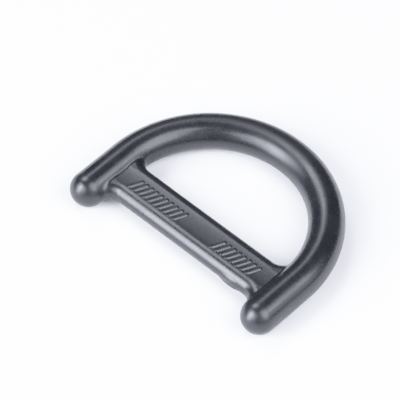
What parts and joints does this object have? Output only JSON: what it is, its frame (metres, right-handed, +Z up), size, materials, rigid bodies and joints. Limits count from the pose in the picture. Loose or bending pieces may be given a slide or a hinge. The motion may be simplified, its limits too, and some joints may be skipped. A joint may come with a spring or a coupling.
{
  "type": "d ring",
  "caption": "One-piece moulded plastic D ring: round half-circle bow, ball-ended legs and a flat round-edged crossbar for 25 mm webbing.",
  "frame": {"origin": "middle of the footprint, on the surface that the ring lies on", "axes": "+X across the ring along the crossbar, +Y from the crossbar towards the bow, +Z up out of the surface it lies on"},
  "size_m": [0.036, 0.0276, 0.005],
  "materials": {
    "ring_plastic": "satin black moulded acetal, fine grain, small shiny patches on the round faces"
  },
  "bodies": {
    "root": {"d_ring": "ring_plastic"}
  },
  "joints": []
}
